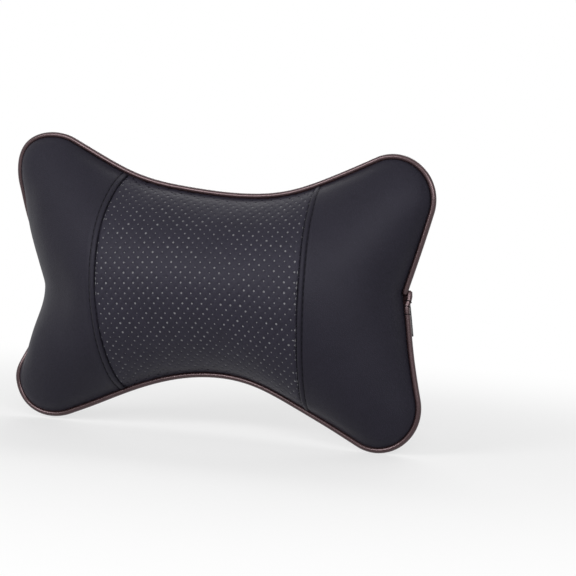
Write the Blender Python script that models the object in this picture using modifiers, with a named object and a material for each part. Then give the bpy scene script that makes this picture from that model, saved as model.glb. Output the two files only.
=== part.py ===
"""Bone-shaped car neck pillow: a stuffed leatherette cover with a perforated centre panel, piped rim and elastic headrest strap.

Metres, +Z up. The front faces -Y and the strap runs behind the back. The origin is on the inner face of the strap, at its middle.
"""

from math import acos, atan2, cos, pi, radians, sin

import bmesh
import bpy
import numpy as np
from mathutils import Vector
from mathutils.geometry import interpolate_bezier

# Outline, measured over the piping
WIDTH = 0.280
HEIGHT = 0.188
WAIST_HEIGHT = 0.1180
LOBE_RADIUS = 0.0265
SHOULDER_ANGLE = radians(26)
NOTCH_DEPTH = 0.0158

# Stuffed form
BULGE = 0.042
FULLNESS = 0.75

# Front panels
CENTRE_PANEL_WIDTH = 0.125
SEAM_BOW = 0.0048
RIDGE_WIDTH = 0.0036
RIDGE_RISE = 0.0008

# Sheets
LEATHER = 0.0010
BACKING = 0.0020
CLEARANCE = 0.0003

# Piping
PIPING_RADIUS = 0.00175
PIPING_SKIN = 0.00045
PIPING_FLANGE = 0.0040

# Strap
STRAP_WIDTH = 0.025
STRAP_THICKNESS = 0.0012
STRAP_DROP = 0.007
STRAP_SLACK = 0.012
STRAP_FLAT = 0.060
STRAP_OUT = 0.0055
STRAP_TURN = 0.030

# Mesh divisions of one quarter of the front
CENTRE_COLUMNS = 6
RIDGE_COLUMNS = 2
WING_COLUMNS = 8
ROWS = 9
RIM_STEPS = 26
ROUND_STEPS = 8
FLANK_POINTS = 40

LOBE = Vector(
    (
        WIDTH / 2 - PIPING_RADIUS - LOBE_RADIUS,
        HEIGHT / 2 - PIPING_RADIUS - LOBE_RADIUS,
    )
)
WAIST = Vector((0, WAIST_HEIGHT / 2 - PIPING_RADIUS))
NOTCH = Vector((WIDTH / 2 - PIPING_RADIUS - NOTCH_DEPTH, 0))
PLY_GAP = CLEARANCE / 2
FLANGE_HALF = PLY_GAP + PIPING_SKIN
EDGE_INSET = PIPING_RADIUS + CLEARANCE
EDGE_RISE = FLANGE_HALF + CLEARANCE + LEATHER
STRAP_FACE = BULGE + STRAP_SLACK


def clear_scene():
    for obj in list(bpy.data.objects):
        bpy.data.objects.remove(obj, do_unlink=True)


def material(name, color, roughness, metallic=0.0):
    made = bpy.data.materials.new(name)
    made.use_nodes = True
    shader = made.node_tree.nodes["Principled BSDF"]
    shader.inputs["Base Color"].default_value = (*color, 1)
    shader.inputs["Roughness"].default_value = roughness
    shader.inputs["Metallic"].default_value = metallic
    made.diffuse_color = (*color, 1)
    return made


def arc(centre, radius, start, end, count):
    return [
        Vector((centre.x + radius * cos(a), centre.y + radius * sin(a)))
        for a in np.linspace(start, end, count)
    ]


def quarter_rim():
    """Piping line from the top of the waist over the lobe to the side notch, as close points."""
    slope = Vector((cos(SHOULDER_ANGLE), sin(SHOULDER_ANGLE)))
    lobe_start = LOBE + LOBE_RADIUS * Vector((-slope.y, slope.x))
    reach = 0.38 * (lobe_start - WAIST).length
    saddle = interpolate_bezier(
        WAIST, WAIST + Vector((reach, 0)), lobe_start - reach * slope, lobe_start, 80
    )
    side = NOTCH - LOBE
    lobe_end = atan2(side.y, side.x) + acos(LOBE_RADIUS / side.length)
    lobe = arc(LOBE, LOBE_RADIUS, pi / 2 + SHOULDER_ANGLE, lobe_end, 80)
    flank = [lobe[-1].lerp(NOTCH, share) for share in np.linspace(0, 1, FLANK_POINTS)]
    return np.array([p.to_2d() for p in saddle] + lobe[1:] + flank[1:])


def inset(line, distance):
    """The quarter line moved inwards, kept square to the mirror lines at its two ends."""
    before = np.vstack([line[1] * [-1, 1], line[:-1]])
    after = np.vstack([line[1:], line[-2] * [1, -1]])
    a, b = line - before, after - line
    a /= np.linalg.norm(a, axis=1)[:, None]
    b /= np.linalg.norm(b, axis=1)[:, None]
    normals = np.stack([a[:, 1] + b[:, 1], -a[:, 0] - b[:, 0]], 1)
    normals /= (1 + (a * b).sum(1))[:, None]
    return line + distance * normals


def spaced(line, shares):
    """Points at the given shares of a line's length."""
    run = np.concatenate([[0], np.cumsum(np.hypot(*np.diff(line, axis=0).T))])
    at = np.asarray(shares) * run[-1]
    return np.stack([np.interp(at, run, line[:, k]) for k in (0, 1)], 1)


def stations(line, count):
    """Points along a line, closer together where it turns."""
    step = np.diff(line, axis=0)
    length = np.hypot(*step.T)
    heading = np.unwrap(np.arctan2(step[:, 1], step[:, 0]))
    turn = np.concatenate([[0], np.abs(np.diff(heading))])
    run = np.concatenate([[0], np.cumsum(length + LOBE_RADIUS * turn)])
    at = np.linspace(0, run[-1], count)
    return np.stack([np.interp(at, run, line[:, k]) for k in (0, 1)], 1)


def coons(bottom, top, left, right, across, up):
    """Surface patch between four edge lines, at the given shares across and up."""
    s, t = across[:, None, None], up[None, :, None]
    corners = (
        (1 - s) * (1 - t) * bottom[0]
        + s * (1 - t) * bottom[-1]
        + (1 - s) * t * top[0]
        + s * t * top[-1]
    )
    return (
        (1 - t) * bottom[:, None]
        + t * top[:, None]
        + (1 - s) * left[None]
        + s * right[None]
        - corners
    )


def quarter_plan():
    """Grid of (x, z) from the middle of the front out to the cover's edge: columns outwards, rows upwards."""
    edge = inset(quarter_rim(), EDGE_INSET)
    seam_x = CENTRE_PANEL_WIDTH / 2
    upper = edge[: np.argmax(edge[:, 1])]
    at_seam = np.searchsorted(upper[:, 0], seam_x)
    seam_top = np.array([seam_x, np.interp(seam_x, *upper.T)])
    tip = np.array(LOBE) + LOBE_RADIUS * np.array([cos(pi / 4), sin(pi / 4)])
    at_tip = np.argmin(np.hypot(*(edge - tip).T))
    up = np.linspace(0, 1, ROWS + 1)
    seam = np.stack([seam_x + SEAM_BOW * (1 - up**2), up * seam_top[1]], 1)

    across = np.linspace(0, 1, CENTRE_COLUMNS + 1)
    top = spaced(np.vstack([edge[:at_seam], seam_top]), across)
    bottom = np.outer(across, [seam[0, 0], 0])
    middle = np.outer(up, [0, top[0, 1]])
    centre = coons(bottom, top, middle, seam, across, up)

    outer = spaced(edge[at_tip:][::-1], up)
    wing_width = outer[0, 0] - seam[0, 0]
    ridge = np.linspace(0, RIDGE_WIDTH / wing_width, RIDGE_COLUMNS + 1)
    across = np.concatenate([ridge, np.linspace(ridge[-1], 1, WING_COLUMNS + 1)[1:]])
    top = spaced(np.vstack([seam_top, edge[at_seam : at_tip + 1]]), across)
    bottom = seam[0] + np.outer(across, [wing_width, 0])
    wing = coons(bottom, top, seam, outer, across, up)
    return np.concatenate([centre, wing[1:]])


def inflated(plan):
    """Rise of an evenly pressed skin held along the plan's last column and last row, as a share of its middle."""
    columns, rows = plan.shape[:2]
    index = np.arange(columns * rows).reshape(columns, rows)
    a, b = index[:-1, :-1].ravel(), index[1:, :-1].ravel()
    c, d = index[1:, 1:].ravel(), index[:-1, 1:].ravel()
    triangles = np.concatenate(
        [np.stack(t, 1) for t in ((a, b, c), (a, c, d), (a, b, d), (b, c, d))]
    )
    corners = plan.reshape(-1, 2)[triangles]
    sides = np.roll(corners, 1, axis=1) - np.roll(corners, -1, axis=1)
    areas = np.abs(
        sides[:, 0, 0] * sides[:, 1, 1] - sides[:, 0, 1] * sides[:, 1, 0]
    )
    stiffness = np.zeros((index.size, index.size))
    for i in range(3):
        for j in range(3):
            value = (sides[:, i] * sides[:, j]).sum(1) / (2 * areas)
            np.add.at(stiffness, (triangles[:, i], triangles[:, j]), value)
    load = np.bincount(triangles.ravel(), np.repeat(areas / 6, 3), index.size)
    free = index[:-1, :-1].ravel()
    rise = np.zeros(index.size)
    rise[free] = np.linalg.solve(stiffness[np.ix_(free, free)], load[free])
    return (rise / rise[0]).reshape(columns, rows)


def both_ways(quarter, flip):
    """A quarter grid mirrored to the whole front. Flip gives the sign that each coordinate takes below and to the left."""
    upper = quarter
    lower = quarter[:, :0:-1] * flip[1]
    right = np.concatenate([lower, upper], 1)
    left = right[:0:-1] * flip[0]
    return np.concatenate([left, right])


def front_surface(ridged):
    """Grid of the cover's outer front surface, in metres from the rim's middle plane."""
    plan = quarter_plan()
    rise = EDGE_RISE + (BULGE - EDGE_RISE) * inflated(plan) ** FULLNESS
    if ridged:
        ridge = np.sin(np.linspace(0.25, 1, RIDGE_COLUMNS + 1) * pi) * RIDGE_RISE
        first = CENTRE_COLUMNS
        rise[first : first + RIDGE_COLUMNS + 1] += ridge[:, None]
    grid = np.stack([plan[..., 0], -rise, plan[..., 1]], 2)
    return both_ways(grid, (np.array([-1, 1, 1]), np.array([1, 1, -1])))


def normals_of(grid):
    across = np.gradient(grid, axis=0)
    up = np.gradient(grid, axis=1)
    normals = np.cross(across, up)
    return normals / np.linalg.norm(normals, axis=2)[..., None]


def sunk(grid, depth):
    """The surface moved inwards along its normals by one depth, or by one for each column."""
    depth = np.asarray(depth, float)
    return grid - normals_of(grid) * (depth[:, None, None] if depth.ndim else depth)


def grid_mesh(name, grid):
    """Mesh of a grid primitive whose points are moved to the given ones."""
    columns, rows = grid.shape[:2]
    shape = bmesh.new()
    bmesh.ops.create_grid(
        shape, x_segments=columns - 1, y_segments=rows - 1, size=1
    )
    for vert in shape.verts:
        column = round((vert.co.x + 1) / 2 * (columns - 1))
        row = round((vert.co.y + 1) / 2 * (rows - 1))
        vert.co = grid[column, row]
    bmesh.ops.triangulate(shape, faces=shape.faces, quad_method="SHORT_EDGE")
    mesh = bpy.data.meshes.new(name)
    shape.to_mesh(mesh)
    shape.free()
    return mesh


def add(name, mesh, look, home):
    obj = bpy.data.objects.new(name, mesh)
    mesh.materials.append(look)
    mesh.shade_smooth()
    home["collection"].objects.link(obj)
    obj.parent = home["frame"]
    return obj


def thicken(obj, thickness):
    """Solidify inwards from the surface's own normals."""
    solid = obj.modifiers.new("Thickness", "SOLIDIFY")
    solid.thickness = thickness
    solid.offset = -1
    solid.use_even_offset = True
    return obj


def panel(name, grid, thickness, look, home):
    return thicken(add(name, grid_mesh(name, grid), look, home), thickness)


def narrowed(grid):
    """A block of columns with its two side edges drawn in by half a clearance."""
    grid = grid.copy()
    for end, inner in ((0, 1), (-1, -2)):
        step = grid[inner] - grid[end]
        step /= np.linalg.norm(step, axis=1)[:, None]
        grid[end] += step * CLEARANCE / 2
    return grid


def rim_loop():
    """Piping line round the whole rim, from the right notch over the top and back to it."""
    quarter = stations(quarter_rim(), RIM_STEPS + 1)
    top_right = quarter[::-1]
    top_left = quarter[1:] * [-1, 1]
    top = np.vstack([top_right, top_left])
    return np.vstack([top, top[-2::-1] * [1, -1]])


def swept(section):
    """Section of (outward, forward) points carried along the rim, mitred at its corners, with both ends cut level at the right notch."""
    loop = rim_loop()
    a = np.diff(loop, axis=0)
    a /= np.linalg.norm(a, axis=1)[:, None]
    into, away = np.vstack([a[:1], a]), np.vstack([a, a[-1:]])
    outward = np.stack([into[:, 1] + away[:, 1], -into[:, 0] - away[:, 0]], 1)
    outward /= (1 + (into * away).sum(1))[:, None]
    for end, side in ((0, a[0]), (-1, a[-1])):
        outward[end] = [1 / abs(side[1]), 0]
        loop[end, 1] = CLEARANCE if end == 0 else -CLEARANCE
    flat = loop[:, None] + outward[:, None] * section[None, :, :1]
    forward = np.broadcast_to(-section[None, :, 1], flat.shape[:2])
    return np.stack([flat[..., 0], forward, flat[..., 1]], 2)


def piping_cover(look, home):
    """Welt strip: one ply wrapped round the cord, its two edges laid together as the seam flange."""
    middle = PIPING_RADIUS - PIPING_SKIN / 2
    lap = PLY_GAP + PIPING_SKIN / 2
    mouth = np.arcsin(lap / middle)
    turns = np.linspace(pi - mouth, mouth - pi, ROUND_STEPS + 1)
    wrap = np.stack([middle * np.cos(turns), middle * np.sin(turns)], 1)
    edge = -PIPING_RADIUS - PIPING_FLANGE
    section = np.vstack([[edge, lap], wrap, [edge, -lap]])
    obj = add("piping_cover", grid_mesh("piping_cover", swept(section)), look, home)
    thicken(obj, PIPING_SKIN).modifiers["Thickness"].offset = 0
    return obj


def piping_cord(look, home):
    """Cord inside the welt."""
    loop = rim_loop()
    loop[0, 1], loop[-1, 1] = CLEARANCE, -CLEARANCE
    curve = bpy.data.curves.new("piping_cord", "CURVE")
    curve.dimensions = "3D"
    spline = curve.splines.new("POLY")
    spline.points.add(len(loop) - 1)
    for point, (x, z) in zip(spline.points, loop):
        point.co = (x, 0, z, 1)
    curve.bevel_depth = PIPING_RADIUS - PIPING_SKIN - CLEARANCE
    curve.bevel_resolution = 1
    curve.use_fill_caps = True
    curve.materials.append(look)
    obj = bpy.data.objects.new("piping_cord", curve)
    home["collection"].objects.link(obj)
    obj.parent = home["frame"]
    return obj


def rim_x(heights):
    """Piping line's distance from the middle plane at heights close to the side notch."""
    flank = quarter_rim()[: -FLANK_POINTS - 1 : -1]
    return np.interp(np.abs(heights), flank[:, 1], flank[:, 0])


def strap(look, home):
    """Elastic band sewn in behind the piping at both notches, led round the back, with a flat middle."""
    heights = np.linspace(-STRAP_WIDTH / 2, STRAP_WIDTH / 2, 5) - STRAP_DROP
    start_y = PIPING_RADIUS + CLEARANCE
    face = STRAP_FACE + STRAP_THICKNESS
    flat_end = Vector((STRAP_FLAT / 2, face))
    rows = []
    for height, x in zip(heights, rim_x(heights)):
        start = Vector((x, start_y))
        curve = interpolate_bezier(
            start,
            start + Vector((STRAP_OUT, STRAP_TURN / 2)),
            Vector((x - STRAP_TURN, face)),
            flat_end,
            17,
        )
        line = [(p.x, p.y, height) for p in curve]
        line += [(0, face, height)] + [(-x, y, z) for x, y, z in line[::-1]]
        rows.append(line)
    grid = np.array(rows).transpose(1, 0, 2)
    return panel("headrest_strap", grid, STRAP_THICKNESS, look, home)


def fibre_fill(look, home):
    """Stuffing up to the inside of the cover, a mirrored half with its wall closed at the rim's plane."""
    cover = front_surface(ridged=False)
    under_wing = LEATHER + CLEARANCE
    under_centre = under_wing + BACKING + CLEARANCE
    columns = np.abs(np.arange(cover.shape[0]) - cover.shape[0] // 2)
    depth = np.interp(
        columns,
        [CENTRE_COLUMNS, CENTRE_COLUMNS + RIDGE_COLUMNS],
        [under_centre, under_wing],
    )
    mesh = grid_mesh("fibre_fill", sunk(cover, depth)[1:-1, 1:-1])
    shape = bmesh.new()
    shape.from_mesh(mesh)
    rim = [edge for edge in shape.edges if edge.is_boundary]
    made = bmesh.ops.extrude_edge_only(shape, edges=rim)
    for item in made["geom"]:
        if isinstance(item, bmesh.types.BMVert):
            item.co.y = 0
    bmesh.ops.recalc_face_normals(shape, faces=shape.faces)
    shape.to_mesh(mesh)
    shape.free()
    obj = add("fibre_fill", mesh, look, home)
    mirror = obj.modifiers.new("Back half", "MIRROR")
    mirror.use_axis = (False, True, False)
    mirror.merge_threshold = 0.0001
    return obj


def main():
    clear_scene()
    collection = bpy.data.collections.new("car_neck_pillow")
    bpy.context.scene.collection.children.link(collection)
    frame = bpy.data.objects.new("pillow_frame", None)
    collection.objects.link(frame)
    frame.location = (0, -STRAP_FACE, STRAP_DROP)
    home = {"collection": collection, "frame": frame}

    smooth = material("leatherette", (0.020, 0.021, 0.026), 0.42)
    pierced = material("perforated_leatherette", (0.022, 0.023, 0.028), 0.45)
    glossy = material("piping_leatherette", (0.018, 0.015, 0.016), 0.25)
    scrim = material("scrim", (0.42, 0.41, 0.40), 0.9)
    thread = material("cotton_cord", (0.70, 0.68, 0.64), 0.9)
    elastic = material("elastic_webbing", (0.030, 0.026, 0.026), 0.8)
    fibre = material("polyester_fibre", (0.86, 0.86, 0.86), 0.95)

    cover = front_surface(ridged=True)
    middle = cover.shape[0] // 2
    left, right = middle - CENTRE_COLUMNS, middle + CENTRE_COLUMNS
    plain = front_surface(ridged=False)
    panel("front_left_panel", narrowed(cover[: left + 1]), LEATHER, smooth, home)
    panel("front_right_panel", narrowed(cover[right:]), LEATHER, smooth, home)
    centre = narrowed(plain[left : right + 1])
    panel("front_centre_panel", centre, LEATHER, pierced, home)
    lining = narrowed(sunk(plain, LEATHER + CLEARANCE)[left : right + 1, 1:-1])
    panel("centre_panel_backing", lining, BACKING, scrim, home)

    back = plain[::-1] * [1, -1, 1]
    panel("back_panel", back, LEATHER, smooth, home)
    piping_cover(glossy, home)
    piping_cord(thread, home)
    strap(elastic, home)
    fibre_fill(fibre, home)


main()
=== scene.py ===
"""Bone-shaped car neck pillow.

It has a leatherette cover with a perforated centre panel, a piped rim and an elastic
headrest strap. Metres, +Z up, the front faces -Y, the strap's inner face is at y = 0.
"""

import logging
from dataclasses import dataclass, field
from enum import Enum
from math import acos, atan2, cos, pi, radians, sin
from typing import Any

import bmesh
import bpy
import numpy as np
from bpy.types import ID, Material, Mesh, Node, NodeOutputs, NodeTree, Object
from bpy.types import NodeSocket as Socket
from mathutils import Matrix, Quaternion, Vector, noise
from mathutils.geometry import interpolate_bezier


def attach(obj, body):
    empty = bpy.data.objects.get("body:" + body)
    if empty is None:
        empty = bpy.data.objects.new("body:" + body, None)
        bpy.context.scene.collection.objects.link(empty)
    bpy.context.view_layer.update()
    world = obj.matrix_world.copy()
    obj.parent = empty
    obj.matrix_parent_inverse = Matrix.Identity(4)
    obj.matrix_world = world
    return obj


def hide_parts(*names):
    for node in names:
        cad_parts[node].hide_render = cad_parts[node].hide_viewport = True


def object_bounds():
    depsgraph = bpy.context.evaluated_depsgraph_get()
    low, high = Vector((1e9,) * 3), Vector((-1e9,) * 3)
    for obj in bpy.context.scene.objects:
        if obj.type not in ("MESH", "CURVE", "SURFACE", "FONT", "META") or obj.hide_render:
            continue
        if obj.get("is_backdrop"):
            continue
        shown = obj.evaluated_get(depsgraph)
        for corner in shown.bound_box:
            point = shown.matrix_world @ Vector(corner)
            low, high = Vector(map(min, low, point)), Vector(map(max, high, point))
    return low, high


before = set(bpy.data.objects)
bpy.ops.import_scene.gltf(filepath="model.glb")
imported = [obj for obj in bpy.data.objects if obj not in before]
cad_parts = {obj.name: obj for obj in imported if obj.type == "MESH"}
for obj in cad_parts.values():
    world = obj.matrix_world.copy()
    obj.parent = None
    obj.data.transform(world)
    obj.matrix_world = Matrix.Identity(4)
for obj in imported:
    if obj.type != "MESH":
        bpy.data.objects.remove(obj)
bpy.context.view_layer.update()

LOG = logging.getLogger("neck_pillow")
BODY = "root"
MM = 0.001
WELD = 0.02 * MM
WELD_GRID = 0.001 * MM


class Side(Enum):
    """Which end of the pillow a piece is on, seen from the front."""

    LEFT = -1
    RIGHT = 1


class Face(Enum):
    """Which half of the cover a skin belongs to."""

    FRONT = -1
    BACK = 1


class Slot(Enum):
    """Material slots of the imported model."""

    LEATHERETTE = "leatherette"
    PERFORATED = "perforated_leatherette"
    PIPING = "piping_leatherette"
    SCRIM = "scrim"
    CORD = "cotton_cord"
    ELASTIC = "elastic_webbing"
    FIBRE = "polyester_fibre"


def linear(colour: str) -> tuple[float, float, float, float]:
    """Turn an sRGB hex colour into the linear values that a shader takes.

    Args:
        colour: Six hex digits after a hash sign.

    Returns:
        Linear red, green, blue and full alpha.
    """
    parts = [int(colour[i : i + 2], 16) / 255 for i in (1, 3, 5)]
    red, green, blue = (
        p / 12.92 if p <= 0.04045 else ((p + 0.055) / 1.055) ** 2.4 for p in parts
    )
    return red, green, blue, 1.0


def unit(vectors: np.ndarray) -> np.ndarray:
    """Vectors scaled to length one, along their last axis."""
    return vectors / np.linalg.norm(vectors, axis=-1)[..., None]


def bell(values: np.ndarray, at: float, width: float) -> np.ndarray:
    """Smooth hump of height one around a place."""
    return np.exp(-(((values - at) / width) ** 2))


def eased(share: np.ndarray) -> np.ndarray:
    """Share from 0 to 1 that starts and ends gently."""
    return share**2 * (3 - 2 * share)


def run_along(line: np.ndarray) -> np.ndarray:
    """Length of a line from its start to each of its points."""
    return np.r_[0, np.cumsum(np.linalg.norm(np.diff(line, axis=0), axis=1))]


def points_at(line: np.ndarray, at: np.ndarray) -> np.ndarray:
    """Points of a line at the given lengths from its start."""
    run = run_along(line)
    return np.stack([np.interp(at, run, part) for part in line.T], 1)


def spaced(line: np.ndarray, shares: np.ndarray) -> np.ndarray:
    """Points at the given shares, from 0 to 1, of a line's length."""
    return points_at(line, np.asarray(shares) * run_along(line)[-1])


def quads_of(columns: int, rows: int) -> np.ndarray:
    """Count the corners of each square of a point grid.

    Args:
        columns: Columns of the grid.
        rows: Rows of the grid.

    Returns:
        Four indices for each square, counted by column and then by row.
    """
    index = np.arange(columns * rows).reshape(columns, rows)
    corners = [index[:-1, :-1], index[1:, :-1], index[1:, 1:], index[:-1, 1:]]
    return np.stack(corners, -1).reshape(-1, 4)


class Nodes:
    """Adds nodes to one tree and hands back the sockets that they give."""

    def __init__(self, tree: NodeTree) -> None:
        """Keep the tree."""
        self.tree = tree

    @classmethod
    def geometry(cls, name: str, inputs: dict[str, str]) -> "Nodes":
        """Start a Geometry Nodes tree with its named inputs.

        Args:
            name: Name of the tree.
            inputs: Names of the inputs after the geometry, by socket type.

        Returns:
            The nodes of the tree, with a geometry going in and out.
        """
        tree = bpy.data.node_groups.new(name, "GeometryNodeTree")
        ends = [("Geometry", "Geometry", "INPUT"), ("Geometry", "Geometry", "OUTPUT")]
        for kind, titles in inputs.items():
            ends += [(title, kind, "INPUT") for title in titles.split(", ")]
        for title, kind, way in ends:
            tree.interface.new_socket(title, in_out=way, socket_type=f"NodeSocket{kind}")
        return cls(tree)

    def feed(self, node: Node, inputs: dict[str | int, Any]) -> None:
        """Set or link the inputs of a node.

        Args:
            node: The node.
            inputs: Value or linked socket for each input, by name or place.
        """
        for key, value in inputs.items():
            if isinstance(key, int):
                socket = node.inputs[key]
            else:
                socket = next(s for s in node.inputs if s.name == key and s.enabled)
            if isinstance(value, Socket):
                self.tree.links.new(value, socket)
            else:
                socket.default_value = value

    def add(
        self, kind: str, inputs: dict[str | int, Any] | None = None, **settings: Any
    ) -> NodeOutputs:
        """Add a node.

        Args:
            kind: Blender's name of the node type.
            inputs: Value or linked socket for each input, by name or place.
            **settings: Properties of the node itself.

        Returns:
            What the node gives.
        """
        node = self.tree.nodes.new(kind)
        for name, value in settings.items():
            setattr(node, name, value)
        self.feed(node, inputs or {})
        return node.outputs

    def math(self, operation: str, *values: Any, clamp: bool = False) -> Socket:
        """Result of one sum on numbers or sockets."""
        given = dict(enumerate(values))
        return self.add("ShaderNodeMath", given, operation=operation, use_clamp=clamp)[0]

    def vector(self, operation: str, *values: Any) -> Socket:
        """Result of one sum on vectors."""
        given = dict(enumerate(values))
        return self.add("ShaderNodeVectorMath", given, operation=operation)[0]

    def scaled(self, vector: Any, scale: Socket) -> Socket:
        """A vector times a number."""
        given = {0: vector, "Scale": scale}
        return self.add("ShaderNodeVectorMath", given, operation="SCALE")[0]

    def joined(self, *parts: Any) -> Socket:
        """Vector with the given parts."""
        return self.add("ShaderNodeCombineXYZ", dict(enumerate(parts)))[0]

    def split(self, vector: Socket) -> NodeOutputs:
        """The three parts of a vector."""
        return self.add("ShaderNodeSeparateXYZ", {0: vector})

    def mapped(
        self,
        value: Socket,
        start: tuple[float, float] = (0.0, 1.0),
        end: tuple[float, float] = (0.0, 1.0),
        kind: str = "LINEAR",
    ) -> Socket:
        """Carry a value from one range to another.

        Args:
            value: The value.
            start: Range that it comes from.
            end: Range that it goes to.
            kind: How it is carried.

        Returns:
            The carried value.
        """
        names = ("From Min", "From Max", "To Min", "To Max")
        given = {"Value": value, **dict(zip(names, (*start, *end)))}
        return self.add("ShaderNodeMapRange", given, interpolation_type=kind)[0]

    def named(self, name: str, kind: str = "FLOAT_VECTOR") -> Socket:
        """Values of a named attribute."""
        return self.add(
            "GeometryNodeInputNamedAttribute", {"Name": name}, data_type=kind
        )[0]

    def stored(
        self, geometry: Socket, name: str, value: Socket, kind: str, domain: str
    ) -> Socket:
        """The geometry with a value kept on it under a name."""
        return self.add(
            "GeometryNodeStoreNamedAttribute",
            {"Geometry": geometry, "Name": name, "Value": value},
            data_type=kind,
            domain=domain,
        )[0]

    def chance(self, reach: float, seed: Socket) -> Socket:
        """An even draw for each point, up to the same reach either way."""
        drawn = self.add(
            "FunctionNodeRandomValue",
            {"Min": -reach, "Max": reach, "Seed": seed},
            data_type="FLOAT",
        )
        return next(socket for socket in drawn if socket.enabled)

    def moved(self, geometry: Socket, how: str, place: Socket) -> Socket:
        """The geometry with its points set or shifted."""
        return self.add("GeometryNodeSetPosition", {"Geometry": geometry, how: place})[0]

    def welded(self, geometry: Socket) -> Socket:
        """The geometry with touching points merged."""
        return self.add(
            "GeometryNodeMergeByDistance",
            {"Geometry": geometry, "Distance": WELD},
        )[0]

    def deliver(self, geometry: Socket, finish: Socket) -> None:
        """Smooth, realise and dress the geometry, and hand it out of the tree.

        Args:
            geometry: What the tree has made.
            finish: Its material.
        """
        smooth = self.add("GeometryNodeSetShadeSmooth", {"Geometry": geometry})[0]
        real = self.add("GeometryNodeRealizeInstances", {"Geometry": smooth})[0]
        dressed = self.add(
            "GeometryNodeSetMaterial", {"Geometry": real, "Material": finish}
        )
        self.add("NodeGroupOutput", {0: dressed[0]})


@dataclass(frozen=True)
class CoverSizes:
    """Sizes of the cover and strap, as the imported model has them."""

    width: float = 0.280
    height: float = 0.188
    waist: float = 0.118
    lobe: float = 0.0265
    shoulder: float = radians(26)
    notch: float = 0.0158
    bulge: float = 0.042
    fullness: float = 0.75
    panel: float = 0.125
    bow: float = 0.0048
    ridge: float = 0.0036
    clearance: float = 0.0003
    piping: float = 0.00175
    cord: float = 0.0010
    strap_width: float = 0.025
    strap_thickness: float = 0.0012
    strap_drop: float = 0.007
    strap_slack: float = 0.012
    strap_flat: float = 0.060
    strap_out: float = 0.0055
    strap_turn: float = 0.030

    @property
    def place(self) -> np.ndarray:
        """Middle of the piping's plane in the shared frame."""
        return np.array([0, -self.bulge - self.strap_slack, self.strap_drop])


@dataclass(frozen=True)
class Nudge:
    """Shift of the cover around one place of its outline, as (x, z)."""

    at: tuple[float, float]
    by: tuple[float, float]
    reach: float = 0.042


@dataclass(frozen=True)
class Lean:
    """How the sewn and stuffed pillow departs from its even pattern."""

    nudges: tuple[Nudge, ...] = (
        Nudge((-0.111, 0.066), (-0.0055, 0.0005)),
        Nudge((0.111, 0.066), (0.0, -0.0035)),
        Nudge((-0.111, -0.066), (0.0, 0.002)),
        Nudge((0.111, -0.066), (-0.0015, 0.002)),
        Nudge((0.0, 0.057), (-0.001, 0.003), 0.045),
        Nudge((0.0, -0.057), (0.0045, 0.0035), 0.045),
        Nudge((-0.122, 0.0), (0.0025, -0.005), 0.020),
        Nudge((0.122, 0.0), (0.0015, 0.007), 0.020),
        Nudge((-0.128, 0.083), (-0.0028, 0.0018), 0.013),
        Nudge((-0.062, 0.064), (0.0, -0.0012), 0.020),
        Nudge((-0.022, 0.058), (0.0, 0.0012), 0.020),
        Nudge((0.045, 0.060), (0.0, -0.0014), 0.020),
        Nudge((0.052, -0.066), (0.0, -0.0024), 0.024),
        Nudge((-0.108, -0.092), (0.0, 0.0016), 0.014),
        Nudge((-0.140, 0.056), (0.0016, 0.0), 0.014),
    )
    half_width: float = 0.140
    half_height: float = 0.090
    twist: float = 0.0015
    slide: float = 0.0017
    slide_reach: float = 0.130
    dimple: float = 0.32
    dimple_at: tuple[float, float] = (-0.116, -0.016)
    dimple_reach: float = 0.017
    drawn: float = 0.010
    drawn_heights: tuple[float, ...] = (-0.068, -0.024, 0.020, 0.074)
    drawn_reach: float = 0.012
    inward: float = 0.0004
    flare: float = 0.110
    overhang: float = 0.0056
    overhang_slope: float = 0.045
    puff_reach: float = 0.008
    drawn_side: tuple[float, float] = (0.080, 0.106)

    def shift(self, points: np.ndarray) -> np.ndarray:
        """Move points of the even pillow to where they lie in the real one.

        Args:
            points: Points about the middle of the piping's plane.

        Returns:
            The shifted points.
        """
        x, y, z = (points[..., k] for k in range(3))
        moved_x = x + self.slide * np.clip(1 - (x / self.slide_reach) ** 2, 0, None)
        moved_z = z.copy()
        for nudge in self.nudges:
            apart = (x - nudge.at[0]) ** 2 + (z - nudge.at[1]) ** 2
            share = np.exp(-apart / (2 * nudge.reach**2))
            moved_x = moved_x + share * nudge.by[0]
            moved_z = moved_z + share * nudge.by[1]
        apart = (x - self.dimple_at[0]) ** 2 + (z - self.dimple_at[1]) ** 2
        sunk = 1 - self.dimple * np.exp(-apart / (2 * self.dimple_reach**2))
        twist = self.twist * (x / self.half_width) * (z / self.half_height)
        moved_y = y * sunk + twist
        return np.stack([moved_x, moved_y, moved_z], -1)

    def draw_edge(self, points: np.ndarray, rim: np.ndarray) -> np.ndarray:
        """Draw the left edge back, as the strap does, so that the front puffs out over it.

        Args:
            points: Points about the middle of the piping's plane.
            rim: Piping line about the same middle.

        Returns:
            The drawn points.
        """
        flat = rim[rim[:, 0] < 0][:, [0, 2]]
        apart = np.linalg.norm(points[..., None, [0, 2]] - flat, axis=-1).min(-1)
        height = points[..., 2]
        level = np.interp(height, self.drawn_heights, (0.0, 1.0, 1.0, 0.0))
        side = np.interp(-points[..., 0], self.drawn_side, (0.0, 1.0))
        share = eased(level) * eased(side)
        edge = share * bell(apart, 0, self.drawn_reach)
        puff = apart / self.puff_reach * np.exp(1 - apart / self.puff_reach)
        drawn = np.array(points, float)
        drawn[..., 0] += edge * (self.inward - self.flare * height)
        drawn[..., 0] -= share * puff * (self.overhang - self.overhang_slope * height)
        drawn[..., 1] += edge * self.drawn
        return drawn


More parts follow.
